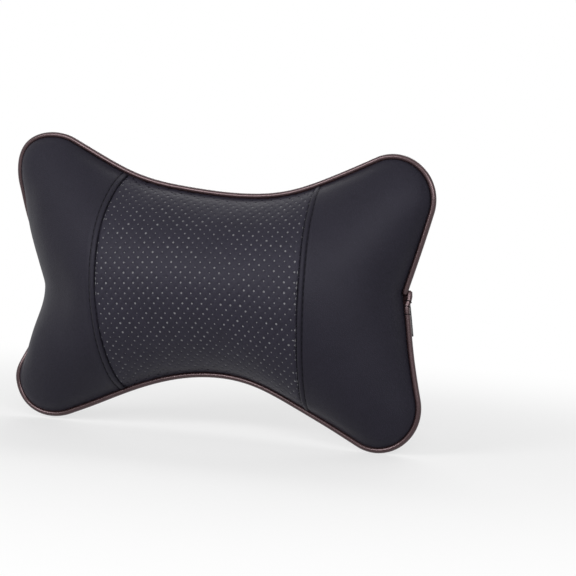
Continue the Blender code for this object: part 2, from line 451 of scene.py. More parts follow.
@dataclass
class Outline:
    """Piping line of the pillow on the plane between its two halves."""

    sizes: CoverSizes
    tip: Vector = field(init=False)
    saddle: float = 0.38
    points: int = 120

    def __post_init__(self) -> None:
        """Find the middle of the upper right lobe."""
        s = self.sizes
        inward = s.piping + s.lobe
        self.tip = Vector((s.width / 2 - inward, s.height / 2 - inward))

    def quarter(self) -> np.ndarray:
        """Draw a quarter of the piping line.

        Returns:
            Close points from the top of the waist over the lobe to the side notch.
        """
        s = self.sizes
        waist = Vector((0, s.waist / 2 - s.piping))
        notch = Vector((s.width / 2 - s.piping - s.notch, 0))
        slope = Vector((cos(s.shoulder), sin(s.shoulder)))
        start = self.tip + s.lobe * Vector((-slope.y, slope.x))
        reach = self.saddle * (start - waist).length
        saddle = interpolate_bezier(
            waist, waist + Vector((reach, 0)), start - reach * slope, start, self.points
        )
        side = notch - self.tip
        turned = atan2(side.y, side.x) + acos(s.lobe / side.length)
        angles = np.linspace(pi / 2 + s.shoulder, turned, self.points)
        lobe = np.array(self.tip) + s.lobe * np.stack([np.cos(angles), np.sin(angles)], 1)
        shares = np.linspace(0, 1, self.points // 2)[1:, None]
        flank = lobe[-1] + (np.array(notch) - lobe[-1]) * shares
        return np.vstack([np.array(saddle)[:, :2], lobe[1:], flank])

    def inset(self, distance: float) -> np.ndarray:
        """The quarter line moved inwards, square to the mirror lines at its ends.

        Args:
            distance: How far to move the line.

        Returns:
            The moved line.
        """
        line = self.quarter()
        a = unit(line - np.vstack([line[1] * [-1, 1], line[:-1]]))
        b = unit(np.vstack([line[1:], line[-2] * [1, -1]]) - line)
        normals = np.stack([a[:, 1] + b[:, 1], -a[:, 0] - b[:, 0]], 1)
        return line + distance * normals / (1 + (a * b).sum(1))[:, None]

    def loop(self) -> np.ndarray:
        """Mirror the quarter all the way round.

        Returns:
            Piping line from the right notch over the top and back to it.
        """
        quarter = self.quarter()
        top = np.vstack([quarter[::-1], quarter[1:] * [-1, 1]])
        return np.vstack([top, top[-2::-1] * [1, -1]])


class Skin:
    """Smooth surface through a grid of points, read at any column and row between them."""

    STEP = 0.05

    def __init__(self, grid: np.ndarray, face: Face) -> None:
        """Keep the grid with a border that carries its edges on.

        Args:
            grid: Points by column, from left to right, and row, upwards.
            face: Half of the cover that the surface belongs to.
        """
        self.grid = grid
        self.face = face
        self.columns, self.rows = (count // 2 for count in grid.shape[:2])
        self.padded = np.pad(
            grid, ((1, 1), (1, 1), (0, 0)), mode="reflect", reflect_type="odd"
        )

    @staticmethod
    def _weights(part: np.ndarray) -> list[np.ndarray]:
        """Shares of the four neighbours on a cubic through the middle two."""
        t, t2, t3 = part, part**2, part**3
        return [
            (2 * t2 - t - t3) / 2,
            (3 * t3 - 5 * t2 + 2) / 2,
            (4 * t2 + t - 3 * t3) / 2,
            (t3 - t2) / 2,
        ]

    def at(self, column: np.ndarray, row: np.ndarray) -> np.ndarray:
        """Points of the surface.

        Args:
            column: Places across, from minus to plus the number of columns a side.
            row: Places up, likewise.

        Returns:
            One point for each pair.
        """
        column, row = np.broadcast_arrays(
            np.asarray(column, float) + self.columns, np.asarray(row, float) + self.rows
        )
        i = np.clip(np.floor(column).astype(int), 0, 2 * self.columns - 1)
        j = np.clip(np.floor(row).astype(int), 0, 2 * self.rows - 1)
        across, up = self._weights(column - i), self._weights(row - j)
        return sum(
            (across[k] * up[m])[..., None] * self.padded[i + k, j + m]
            for k in range(4)
            for m in range(4)
        )

    def normals(self, column: np.ndarray, row: np.ndarray) -> np.ndarray:
        """Outward directions at the same places as the points.

        Args:
            column: Places across.
            row: Places up.

        Returns:
            One unit vector for each pair.
        """
        step = self.STEP
        c = np.clip(column, step - self.columns, self.columns - step)
        r = np.clip(row, step - self.rows, self.rows - step)
        across = self.at(c + step, r) - self.at(c - step, r)
        up = self.at(c, r + step) - self.at(c, r - step)
        return unit(np.cross(across, up)) * (-self.face.value)


@dataclass
class PillowForm:
    """The stuffed form: two skins that meet along the piping."""

    sizes: CoverSizes
    lean: Lean
    centre_columns: int = 12
    wing_columns: int = 16
    rows: int = 18
    edge: float = 0.0019
    ripple: float = 0.00035
    lump: float = 0.026
    calm: float = 0.010
    rim_points: int = 1200
    dive: float = 0.45
    bite: float = 0.1 * MM

    def __post_init__(self) -> None:
        """Lay out the pattern, stuff it and keep both skins."""
        self.outline = Outline(self.sizes)
        even = self.even_front()
        front = self.lean.shift(even)
        back = self.lean.shift(even * [1, -1, 1])
        front, back = Stuffing().settle(front, back)
        flat = self.lean.shift(np.insert(self.outline.loop(), 1, 0, axis=1))
        front, back, rim = (
            self.lean.draw_edge(points, flat) for points in (front, back, flat)
        )
        self.front = Skin(self.rippled(front, Face.FRONT), Face.FRONT)
        self.back = Skin(self.rippled(back, Face.BACK), Face.BACK)
        self.rim = rim + self.sizes.place

    def coons(
        self,
        bottom: np.ndarray,
        top: np.ndarray,
        left: np.ndarray,
        right: np.ndarray,
    ) -> np.ndarray:
        """Grid of points between four edge lines that meet at their ends.

        Args:
            bottom: Lower edge, from left to right.
            top: Upper edge, from left to right.
            left: Left edge, upwards.
            right: Right edge, upwards.

        Returns:
            The grid by column and row.
        """
        s = np.linspace(0, 1, len(bottom))[:, None, None]
        t = np.linspace(0, 1, len(left))[None, :, None]
        corners = (1 - s) * ((1 - t) * bottom[0] + t * top[0])
        corners = corners + s * ((1 - t) * bottom[-1] + t * top[-1])
        lines = (1 - t) * bottom[:, None] + t * top[:, None]
        return lines + (1 - s) * left[None] + s * right[None] - corners

    def pattern(self) -> np.ndarray:
        """Lay out a quarter of the front, with the seam along one column.

        Returns:
            Grid of (x, z) from the middle of the front to the cover's edge.
        """
        s = self.sizes
        edge = self.outline.inset(s.piping + s.clearance)
        seam_x = s.panel / 2
        upper = edge[: np.argmax(edge[:, 1])]
        at_seam = np.searchsorted(upper[:, 0], seam_x)
        seam_top = np.array([seam_x, np.interp(seam_x, *upper.T)])
        tip = np.array(self.outline.tip) + s.lobe * np.array([cos(pi / 4), sin(pi / 4)])
        at_tip = np.argmin(np.hypot(*(edge - tip).T))
        up = np.linspace(0, 1, self.rows + 1)
        seam = np.stack([seam_x + s.bow * (1 - up**2), up * seam_top[1]], 1)
        across = np.linspace(0, 1, self.centre_columns + 1)
        centre = self.coons(
            np.outer(across, [seam[0, 0], 0]),
            spaced(np.vstack([edge[:at_seam], seam_top]), across),
            np.outer(up, [0, edge[0, 1]]),
            seam,
        )
        outer = spaced(edge[at_tip:][::-1], up)
        across = np.linspace(0, 1, self.wing_columns + 1)
        wing = self.coons(
            seam[0] + np.outer(across, [outer[0, 0] - seam[0, 0], 0]),
            spaced(np.vstack([seam_top, edge[at_seam : at_tip + 1]]), across),
            seam,
            outer,
        )
        return np.concatenate([centre, wing[1:]])

    def rise(self, plan: np.ndarray) -> np.ndarray:
        """Rise of an evenly pressed skin held along its outer column and row.

        Args:
            plan: Quarter grid of (x, z).

        Returns:
            Rise at each point as a share of the middle's.
        """
        columns, rows = plan.shape[:2]
        count, quads = columns * rows, quads_of(columns, rows)
        halves = ([0, 1, 2], [0, 2, 3], [0, 1, 3], [1, 2, 3])
        triangles = np.concatenate([quads[:, half] for half in halves])
        corners = plan.reshape(-1, 2)[triangles]
        sides = np.roll(corners, 1, axis=1) - np.roll(corners, -1, axis=1)
        areas = np.abs(sides[:, 0, 0] * sides[:, 1, 1] - sides[:, 0, 1] * sides[:, 1, 0])
        stiffness = np.zeros((count, count))
        for i in range(3):
            for j in range(3):
                value = (sides[:, i] * sides[:, j]).sum(1) / (2 * areas)
                np.add.at(stiffness, (triangles[:, i], triangles[:, j]), value)
        load = np.bincount(triangles.ravel(), np.repeat(areas / 6, 3), count)
        free = quads[:, 0]
        rise = np.zeros(count)
        rise[free] = np.linalg.solve(stiffness[np.ix_(free, free)], load[free])
        return (rise / rise[0]).reshape(columns, rows)

    def even_front(self) -> np.ndarray:
        """Lay out the whole front before it leans.

        Returns:
            Its grid about the middle of the piping's plane.
        """
        s = self.sizes
        plan = self.pattern()
        rise = self.edge + (s.bulge - self.edge) * self.rise(plan) ** s.fullness
        quarter = np.stack([plan[..., 0], -rise, plan[..., 1]], -1)
        right = np.concatenate([quarter[:, :0:-1] * [1, 1, -1], quarter], 1)
        return np.concatenate([right[:0:-1] * [-1, 1, 1], right])

    def rippled(self, grid: np.ndarray, face: Face) -> np.ndarray:
        """Lay the soft unevenness of stuffed fibre over a settled grid.

        Args:
            grid: Points about the middle of the piping's plane.
            face: Half of the cover that they belong to.

        Returns:
            The grid in the shared frame.
        """
        skin = Skin(grid, face)
        columns, rows = np.meshgrid(
            np.arange(-skin.columns, skin.columns + 1),
            np.arange(-skin.rows, skin.rows + 1),
            indexing="ij",
        )
        out = skin.normals(columns, rows)
        held = np.clip(np.abs(grid[..., 1]) / self.calm, 0, 1)
        seed = Vector((3, face.value, 7))
        lumps = np.array(
            [
                noise.noise(Vector(point) / self.lump + seed)
                + 0.5 * noise.noise(Vector(point) / (self.lump / 2))
                for point in grid.reshape(-1, 3)
            ]
        ).reshape(held.shape)
        return grid + out * (self.ripple * lumps * held)[..., None] + self.sizes.place

    def tucked(self, points: np.ndarray, face: Face) -> np.ndarray:
        """Where the cover's edge dives in beside the piping.

        Args:
            points: Points along the cover's edge.
            face: Half of the cover that they belong to.

        Returns:
            One point on the piping's inner flank for each.
        """
        rim = spaced(self.rim, np.linspace(0, 1, self.rim_points))
        apart = points[:, None, [0, 2]] - rim[None, :, [0, 2]]
        centre = rim[np.argmin((apart**2).sum(2), axis=1)]
        inward = points - centre
        inward[:, 1] = 0
        aim = unit(unit(inward) + [0, self.dive * face.value, 0])
        return centre + aim * (self.sizes.piping - self.bite)

    def hemmed(self, grid: np.ndarray, face: Face, axis: int) -> np.ndarray:
        """Tuck a grid in beside the piping at both ends of one axis.

        Args:
            grid: Points by column and row.
            face: Half of the cover that they belong to.
            axis: 0 for the first and last column, 1 for the first and last row.

        Returns:
            The grid with a line of points more at each end.
        """
        grid = np.moveaxis(grid, axis, 0)
        first, last = (self.tucked(grid[end], face)[None] for end in (0, -1))
        return np.moveaxis(np.concatenate([first, grid, last]), 0, axis)


@dataclass
class Stuffing:
    """Cloth run that lets the sewn cover settle over its filling."""

    frames: int = 20
    pressure: float = 4.0
    start: float = 0.93
    reach: float = 0.006

    def settle(self, front: np.ndarray, back: np.ndarray) -> tuple[np.ndarray, np.ndarray]:
        """Swell both halves from inside, held along the piping.

        Args:
            front: Grid of the front half.
            back: Grid of the back half.

        Returns:
            Both grids as they settle.
        """
        shape, count = front.shape, front.shape[0] * front.shape[1]
        points = np.concatenate([front.reshape(-1, 3), back.reshape(-1, 3)])
        points = points * [1, self.start, 1]
        shell = self.shell(points, shape)
        settled = self.run(shell)
        moved = settled - points
        length = np.linalg.norm(moved, axis=1)[:, None]
        settled = points + moved * self.reach / (self.reach + length)
        for part, grid in ((slice(0, count), front), (slice(count, None), back)):
            full = np.abs(settled[part, 1]).max()
            settled[part, 1] *= np.abs(grid[..., 1]).max() / full
        return settled[:count].reshape(shape), settled[count:].reshape(shape)

    def shell(self, points: np.ndarray, shape: tuple[int, ...]) -> Object:
        """Closed mesh of both halves, joined by a strip along the rim.

        Args:
            points: Points of the front, then of the back.
            shape: Columns and rows of each half.

        Returns:
            The mesh object, with its rim in a vertex group.
        """
        index = np.arange(shape[0] * shape[1]).reshape(shape[:2])
        rim = np.concatenate(
            [index[:-1, 0], index[-1, :-1], index[:0:-1, -1], index[0, :0:-1]]
        )
        quads, after = quads_of(*shape[:2]), np.roll(rim, -1)
        strip = np.stack([after, rim, rim + index.size, after + index.size], 1)
        faces = np.concatenate([quads, quads[:, ::-1] + index.size, strip])
        mesh = bpy.data.meshes.new("stuffed_shell")
        mesh.from_pydata(points.tolist(), [], faces.tolist())
        obj = Workshop.place("stuffed_shell", mesh)
        held = obj.vertex_groups.new(name="sewn_rim")
        held.add([int(i) for i in [*rim, *(rim + index.size)]], 1.0, "REPLACE")
        return obj

    def run(self, shell: Object) -> np.ndarray:
        """Step the cloth and read where its points end.

        Args:
            shell: Closed mesh with its rim in a vertex group.

        Returns:
            The settled points.
        """
        cloth = shell.modifiers.new("Stuffing", "CLOTH")
        settings = {
            "quality": 6,
            "mass": 0.3,
            "tension_stiffness": 25,
            "compression_stiffness": 25,
            "shear_stiffness": 15,
            "bending_stiffness": 2,
            "use_pressure": True,
            "uniform_pressure_force": self.pressure,
            "vertex_group_mass": "sewn_rim",
        }
        for name, value in settings.items():
            setattr(cloth.settings, name, value)
        cloth.settings.effector_weights.gravity = 0
        cloth.collision_settings.use_collision = False
        cloth.point_cache.frame_start = 1
        cloth.point_cache.frame_end = self.frames
        scene = bpy.context.scene
        for step in range(1, self.frames + 1):
            scene.frame_set(step)
        result = shell.evaluated_get(bpy.context.evaluated_depsgraph_get())
        found = np.empty(len(result.data.vertices) * 3)
        result.data.vertices.foreach_get("co", found)
        bpy.data.objects.remove(shell, do_unlink=True)
        scene.frame_set(1)
        return found.reshape(-1, 3)


class Workshop:
    """Turns point grids and node trees into named pieces of the part."""

    @staticmethod
    def grid_mesh(name: str, grid: np.ndarray, face: Face) -> Mesh:
        """Smooth mesh of a point grid, facing out, with doubled edge points welded.

        Args:
            name: Name of the mesh.
            grid: Points by column and row.
            face: Half of the cover that it faces with.

        Returns:
            The mesh, with a UV map in metres along the grid.
        """
        quads = quads_of(*grid.shape[:2])
        if face is Face.BACK:
            quads = quads[:, ::-1]
        mesh = bpy.data.meshes.new(name)
        mesh.from_pydata(grid.reshape(-1, 3).tolist(), [], quads.tolist())
        across = np.linalg.norm(np.diff(grid, axis=0), axis=2).mean(1)
        up = np.linalg.norm(np.diff(grid, axis=1), axis=2).mean(0)
        u, v = np.r_[0, np.cumsum(across)], np.r_[0, np.cumsum(up)]
        places = np.stack(np.meshgrid(u, v, indexing="ij"), -1).reshape(-1, 2)
        layer = mesh.uv_layers.new(name="UVMap")
        layer.data.foreach_set("uv", places[quads.ravel()].ravel())
        shape = bmesh.new()
        shape.from_mesh(mesh)
        bmesh.ops.remove_doubles(shape, verts=shape.verts, dist=WELD_GRID)
        shape.to_mesh(mesh)
        shape.free()
        mesh.shade_smooth()
        return mesh

    @staticmethod
    def place(name: str, mesh: Mesh, finish: Material | None = None) -> Object:
        """Put a mesh into the scene.

        Args:
            name: Name of the object.
            mesh: Its mesh, already in the shared frame.
            finish: Its material, if it hasn't one yet.

        Returns:
            The new object.
        """
        obj = bpy.data.objects.new(name, mesh)
        bpy.context.scene.collection.objects.link(obj)
        if finish:
            mesh.materials.clear()
            mesh.materials.append(finish)
        return obj

    @classmethod
    def sheet(
        cls,
        name: str,
        grid: np.ndarray,
        face: Face,
        finish: Material,
        thickness: float,
    ) -> Object:
        """Make a sheet from its outer face.

        Args:
            name: Name of the piece.
            grid: Points of the face by column and row.
            face: Half of the cover that it faces with.
            finish: Its material.
            thickness: How far it goes inwards.

        Returns:
            The sheet.
        """
        obj = cls.place(name, cls.grid_mesh(name, grid, face), finish)
        solid = obj.modifiers.new("Thickness", "SOLIDIFY")
        solid.thickness = thickness
        solid.offset = -1
        return obj

    @staticmethod
    def grown(obj: Object, nodes: Nodes, values: dict[str, Any]) -> Object:
        """Run a Geometry Nodes tree on an object and keep the result as its mesh.

        Args:
            obj: Object that the tree starts from.
            nodes: Nodes of the tree.
            values: Value of each named input.

        Returns:
            The same object with its new mesh and no modifier.
        """
        modifier = obj.modifiers.new("Pattern", "NODES")
        modifier.node_group = nodes.tree
        for item in nodes.tree.interface.items_tree:
            if item.in_out == "INPUT" and item.name in values:
                modifier[item.identifier] = values[item.name]
        ready = obj.evaluated_get(bpy.context.evaluated_depsgraph_get())
        mesh = bpy.data.meshes.new_from_object(ready)
        mesh.name = obj.name
        obj.modifiers.remove(modifier)
        obj.data = mesh
        return obj

    @staticmethod
    def record(obj: Object, slot: Slot, nodes: tuple[str, ...] = ()) -> None:
        """Tell the frame what a piece rides on and which CAD nodes it stands for.

        Args:
            obj: The finished piece.
            slot: Material slot that its finish comes from; not used.
            nodes: CAD nodes that it replaces.
        """
        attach(obj, BODY)
        if nodes:
            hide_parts(*nodes)
        LOG.info("%s: %d faces", obj.name, len(obj.data.polygons))


class PerforationTree:
    """Punches a staggered pattern of round holes and drapes the pierced sheet.

    The sheet comes in laid flat, with the place and direction of each point on
    the pillow in its drape and drape_normal attributes.
    """

    RINGS = 5
    SIDES = 8
    MARGIN = 0.6
    NEAR = 0.001 * MM
    SLIVER = 1e-9

    def __init__(self) -> None:
        """Build the tree."""
        numbers = "Pitch, Hole radius, Hole spread, Lip, Depth, Turn"
        self.nodes = Nodes.geometry(
            "perforated_sheet",
            {"Float": numbers, "Int": "Count, Seed", "Material": "Finish"},
        )
        self.given = self.nodes.add("NodeGroupInput")
        pierced = self._draped(self._punched(self._tile()))
        self.nodes.deliver(pierced, self.given["Finish"])

    def _spot(self) -> NodeOutputs:
        """The three parts of each point's place."""
        return self.nodes.split(self.nodes.add("GeometryNodeInputPosition")[0])

    def _tile(self) -> Socket:
        """Make one diamond of sheet round one hole, closed underneath.

        Returns:
            The diamond.
        """
        nodes, math, given = self.nodes, self.nodes.math, self.given
        count = {"Vertices X": self.SIDES + 1, "Vertices Y": self.RINGS}
        grid = nodes.add("GeometryNodeMeshGrid", {"Size X": 1.0, "Size Y": 1.0, **count})
        spot = self._spot()
        angle = math("MULTIPLY", math("ADD", spot[0], 0.5), 2 * pi)
        run = math("MULTIPLY", math("ADD", spot[1], 0.5), self.RINGS - 1)
        ring = math("ROUND", run)
        first, rolled, lipped, last = (
            math("COMPARE", ring, float(k), 0.5) for k in (0, 2, 3, 4)
        )
        east, north = math("COSINE", angle), math("SINE", angle)
        spread = math("ADD", math("ABSOLUTE", east), math("ABSOLUTE", north))
        border = math("DIVIDE", math("DIVIDE", given["Pitch"], 2.0), spread)
        outer = math("MAXIMUM", first, last)
        inner = math("SUBTRACT", 1.0, outer)
        lip = math("MULTIPLY", lipped, given["Lip"])
        rim = math("ADD", given["Hole radius"], lip)
        radius = math("ADD", math("MULTIPLY", outer, border), math("MULTIPLY", inner, rim))
        deep = math("LESS_THAN", ring, 1.5)
        height = math(
            "SUBTRACT",
            math("MULTIPLY", deep, math("MULTIPLY", given["Depth"], -1.0)),
            math("MULTIPLY", rolled, math("MULTIPLY", given["Lip"], 0.5)),
        )
        pull = nodes.scaled(nodes.joined(east, north), inner)
        marked = nodes.stored(grid[0], "hole_pull", pull, "FLOAT_VECTOR", "POINT")
        east, north = math("MULTIPLY", east, radius), math("MULTIPLY", north, radius)
        return nodes.moved(marked, "Position", nodes.joined(east, north, height))

    def _punched(self, tile: Socket) -> Socket:
        """Cover the panel with tiles, with holes of uneven size.

        Args:
            tile: Sheet round one hole.

        Returns:
            The flat sheet of tiles.
        """
        nodes, math, given = self.nodes, self.nodes.math, self.given
        side = math("DIVIDE", given["Pitch"], 2**0.5)
        whole = math("MULTIPLY", side, math("SUBTRACT", given["Count"], 1.0))
        count = {"Vertices X": given["Count"], "Vertices Y": given["Count"]}
        lattice = nodes.add(
            "GeometryNodeMeshGrid", {"Size X": whole, "Size Y": whole, **count}
        )
        turn = nodes.joined(0.0, 0.0, math("ADD", given["Turn"], pi / 4))
        turned = nodes.add(
            "GeometryNodeTransform", {"Geometry": lattice[0], "Rotation": turn}
        )
        near = nodes.add("GeometryNodeProximity", {0: given[0]}, target_element="FACES")
        margin = math("MULTIPLY", given["Pitch"], self.MARGIN)
        away = math("GREATER_THAN", near["Distance"], margin)
        kept = nodes.add(
            "GeometryNodeDeleteGeometry",
            {"Geometry": turned[0], "Selection": away},
            domain="POINT",
        )
        straight = nodes.joined(0.0, 0.0, given["Turn"])
        tiles = nodes.add(
            "GeometryNodeInstanceOnPoints",
            {"Points": kept[0], "Instance": tile, "Rotation": straight},
        )
        draw = nodes.chance(1.0, given["Seed"])
        varied = nodes.stored(tiles[0], "hole_size", draw, "FLOAT", "INSTANCE")
        real = nodes.add("GeometryNodeRealizeInstances", {"Geometry": varied})
        size = math("MULTIPLY", nodes.named("hole_size", "FLOAT"), given["Hole spread"])
        wider = nodes.scaled(nodes.named("hole_pull"), size)
        return nodes.welded(nodes.moved(real[0], "Offset", wider))

    def _draped(self, sheet: Socket) -> Socket:
        """Lay the flat tiles over the pillow and trim them to the panel's edge.

        Args:
            sheet: The flat sheet of tiles.

        Returns:
            The draped panel.
        """
        nodes, math, given = self.nodes, self.nodes.math, self.given
        spot = self._spot()
        level = nodes.joined(spot[0], spot[1])
        near = nodes.add(
            "GeometryNodeProximity", {0: given[0], 2: level}, target_element="FACES"
        )
        inside = math("LESS_THAN", near["Distance"], self.NEAR)
        drape, normal = (
            nodes.add(
                "GeometryNodeSampleNearestSurface",
                {"Mesh": given[0], "Value": nodes.named(name), "Sample Position": level},
                data_type="FLOAT_VECTOR",
            )[0]
            for name in ("drape", "drape_normal")
        )
        height = math("MULTIPLY", spot[2], inside)
        lift = nodes.scaled(nodes.vector("NORMALIZE", normal), height)
        laid = nodes.moved(sheet, "Position", nodes.vector("ADD", drape, lift))
        area = nodes.add("GeometryNodeInputMeshFaceArea")[0]
        flattened = math("LESS_THAN", area, self.SLIVER)
        return nodes.add(
            "GeometryNodeDeleteGeometry",
            {"Geometry": nodes.welded(laid), "Selection": flattened},
            domain="FACE",
        )[0]


class StitchTree:
    """Lays stitches of one length along a line, each lifted by the line's up attribute."""

    SKEW_SPREAD = 0.04

    def __init__(self) -> None:
        """Build the tree."""
        numbers = "Pitch, Length, Thickness, Skew"
        self.nodes = nodes = Nodes.geometry(
            "thread_stitches", {"Float": numbers, "Int": "Seed", "Material": "Finish"}
        )
        given = nodes.add("NodeGroupInput")
        line = nodes.add("GeometryNodeMeshToCurve", {0: given[0]})
        points = nodes.add(
            "GeometryNodeCurveToPoints",
            {"Curve": line[0], "Length": given["Pitch"]},
            mode="LENGTH",
        )
        along = nodes.add(
            "FunctionNodeAlignRotationToVector",
            {"Vector": points["Tangent"]},
            axis="X",
        )
        upright = nodes.add(
            "FunctionNodeAlignRotationToVector",
            {"Rotation": along[0], "Vector": nodes.named("up")},
            axis="Z",
            pivot_axis="X",
        )
        draw = nodes.chance(self.SKEW_SPREAD, given["Seed"])
        swing = nodes.joined(0.0, 0.0, nodes.math("ADD", given["Skew"], draw))
        swung = nodes.add(
            "FunctionNodeRotateRotation",
            {"Rotation": upright[0], "Rotate By": swing},
            rotation_space="LOCAL",
        )
        bead = nodes.add(
            "GeometryNodeMeshUVSphere", {"Segments": 8, "Rings": 6, "Radius": 0.5}
        )
        upended = nodes.add(
            "GeometryNodeTransform",
            {"Geometry": bead[0], "Rotation": (0, pi / 2, 0)},
        )
        size = nodes.joined(given["Length"], given["Thickness"], given["Thickness"])
        stitch = nodes.add("GeometryNodeTransform", {"Geometry": upended[0], "Scale": size})
        laid = nodes.add(
            "GeometryNodeInstanceOnPoints",
            {"Points": points[0], "Instance": stitch[0], "Rotation": swung[0]},
        )
        nodes.deliver(laid[0], given["Finish"])


@dataclass(frozen=True)
class Finish:
    """Surface of one colour, toned and embossed by a pattern of its own."""

    name: str
    colour: str
    roughness: float
    relief: float

    def draw(self, nodes: Nodes) -> tuple[Socket, Socket, dict[str, Any]]:
        """Draw the pattern.

        Args:
            nodes: Nodes of the material.

        Returns:
            Tone of the colour, height of the relief and what else the shader takes.
        """
        raise NotImplementedError

    def build(self) -> Material:
        """Make the material.

        Returns:
            The material, which is named after the finish.
        """
        made = bpy.data.materials.new(self.name)
        made.use_nodes = True
        nodes = Nodes(made.node_tree)
        tone, height, others = self.draw(nodes)
        bump = nodes.add("ShaderNodeBump", {"Distance": self.relief, "Height": height})
        colour = nodes.scaled(linear(self.colour)[:3], tone)
        given = {"Base Color": colour, "Roughness": self.roughness, "Normal": bump[0]}
        nodes.feed(made.node_tree.nodes["Principled BSDF"], given | others)
        return made


@dataclass(frozen=True)
class Leatherette(Finish):
    """Polyurethane leatherette: a coloured skin embossed with a fine hide grain.

    The eye sees a soft, slightly bluish black, broad dull highlights and a faint
    pebble of about a millimetre, with painted shade in the folds between the pebbles.
    """

    grain: float
    ior: float = 1.5
    gloss: str = "#F2F2FF"
    specular: float = 0.15
    unevenness: float = 0.05
    warp: float = 0.4
    fold: float = 0.32
    cloud_scale: float = 45.0
    cloud_tones: tuple[float, float] = (0.85, 1.15)
    # Painted shade: tones of the colour from the folds between the pebbles to their crowns.
    fold_shade_tones: tuple[float, float] = (0.80, 1.02)

    def draw(self, nodes: Nodes) -> tuple[Socket, Socket, dict[str, Any]]:
        """Draw the pebbles, the painted shade in their folds and the cloudy tone.

        Args:
            nodes: Nodes of the material.

        Returns:
            Tone, height of the relief and what else the shader takes.
        """
        place = nodes.add("ShaderNodeTexCoord")["Object"]
        warp = nodes.add(
            "ShaderNodeTexNoise",
            {"Vector": place, "Scale": self.warp / self.grain, "Detail": 2.0},
        )["Color"]
        bent = nodes.vector("MULTIPLY_ADD", warp, (self.grain,) * 3, place)
        pebble = nodes.add(
            "ShaderNodeTexVoronoi",
            {"Vector": bent, "Scale": 1 / self.grain},
            feature="DISTANCE_TO_EDGE",
        )["Distance"]
        crown = nodes.mapped(pebble, (0.0, self.fold), kind="SMOOTHSTEP")
        cloud = nodes.add(
            "ShaderNodeTexNoise",
            {"Vector": place, "Scale": self.cloud_scale, "Detail": 4.0},
        )["Fac"]
        shade = nodes.mapped(cloud, end=self.cloud_tones)
        # Painted shade: the colour is darkened in the folds between the pebbles, where the
        # relief is lowest.
        fold_shade = nodes.mapped(crown, end=self.fold_shade_tones)
        dullest = self.roughness + self.unevenness
        dull = nodes.mapped(cloud, end=(self.roughness - self.unevenness, dullest))
        others = {
            "Roughness": dull,
            "IOR": self.ior,
            "Specular IOR Level": self.specular,
            "Specular Tint": linear(self.gloss),
        }
        return nodes.math("MULTIPLY", shade, fold_shade), crown, others


@dataclass(frozen=True)
class Textile(Finish):
    """Woven or twisted textile drawn along the piece's own UV map, in metres.

    The eye sees dull yarns that cross at their real pitch, lit on their crowns and
    dark between them.
    """

    warp_pitch: float
    weft_pitch: float
    sheen: float = 0.0
    specular: float = 0.1
    weft_share: float = 0.35
    tones: tuple[float, float] = (0.55, 1.1)

    def draw(self, nodes: Nodes) -> tuple[Socket, Socket, dict[str, Any]]:
        """Draw the crossing yarns.

        Args:
            nodes: Nodes of the material.

        Returns:
            Tone, height of the relief and what else the shader takes.
        """
        split = nodes.split(nodes.add("ShaderNodeTexCoord")["UV"])
        warp, weft = (
            nodes.math(
                "ABSOLUTE", nodes.math("SINE", nodes.math("MULTIPLY", part, pi / pitch))
            )
            for part, pitch in ((split[0], self.warp_pitch), (split[1], self.weft_pitch))
        )
        yarn = nodes.math("MULTIPLY_ADD", weft, self.weft_share, warp)
        tone = nodes.mapped(yarn, (0.0, 1.0 + self.weft_share), self.tones)
        others = {"Sheen Weight": self.sheen, "Specular IOR Level": self.specular}
        return tone, yarn, others


@dataclass(frozen=True)
class Fibre(Finish):
    """Loose siliconised polyester fibre, matted: white, soft and matt."""

    fineness: float = 600.0
    sheen: float = 0.3
    tones: tuple[float, float] = (0.8, 1.0)

    def draw(self, nodes: Nodes) -> tuple[Socket, Socket, dict[str, Any]]:
        """Draw the matted strands.

        Args:
            nodes: Nodes of the material.

        Returns:
            Tone, height of the relief and what else the shader takes.
        """
        strands = nodes.add(
            "ShaderNodeTexNoise",
            {
                "Vector": nodes.add("ShaderNodeTexCoord")["Object"],
                "Scale": self.fineness,
                "Detail": 8.0,
                "Distortion": 2.0,
            },
        )["Fac"]
        others = {"Sheen Weight": self.sheen}
        return nodes.mapped(strands, end=self.tones), strands, others


class Finishes:
    """Every material of the pillow."""

    def __init__(self) -> None:
        """Make them."""
        self.smooth = Leatherette(
            "embossed_pu_leatherette", "#222029", 0.50, 0.05 * MM, 1.1 * MM
        ).build()
        self.pierced = Leatherette(
            "perforated_pu_leatherette", "#282630", 0.50, 0.05 * MM, 1.0 * MM
        ).build()
        # The piping strip is pulled tight over its cord: its grain is flat and shines.
        self.piping = Leatherette(
            "stretched_glossy_leatherette",
            "#2C1E20",
            0.27,
            0.002 * MM,
            0.9 * MM,
            ior=1.6,
            gloss="#FFE0E4",
            specular=0.5,
        ).build()
        self.scrim = Textile(
            "knitted_foam_scrim", "#838387", 0.9, 0.1 * MM, 0.9 * MM, 0.7 * MM
        ).build()
        self.cord = Textile(
            "twisted_cotton_cord", "#D9D4C8", 0.9, 0.15 * MM, 0.8 * MM, 1.2 * MM
        ).build()
        # Rubber cores draw the elastic's ribs up to about a millimetre apart.
        self.elastic = Textile(
            "ribbed_elastic_webbing",
            "#201B1E",
            0.8,
            0.18 * MM,
            1.1 * MM,
            0.6 * MM,
            sheen=0.2,
        ).build()
        self.thread = Textile(
            "bonded_polyester_thread", "#111114", 0.5, 0.02 * MM, 0.5 * MM, 0.5 * MM
        ).build()
        self.fibre = Fibre("polyester_staple_fibre", "#ECECEA", 0.95, 0.4 * MM).build()


@dataclass
class Piece:
    """Piece of the pillow, laid on its stuffed form and dressed in its finishes."""

    form: PillowForm
    finishes: Finishes


@dataclass(frozen=True)
class StitchRow:
    """One row of stitches along a panel seam."""

    kind: str
    across: float
    lift: float
    length: float
    skew: float
    seed: int


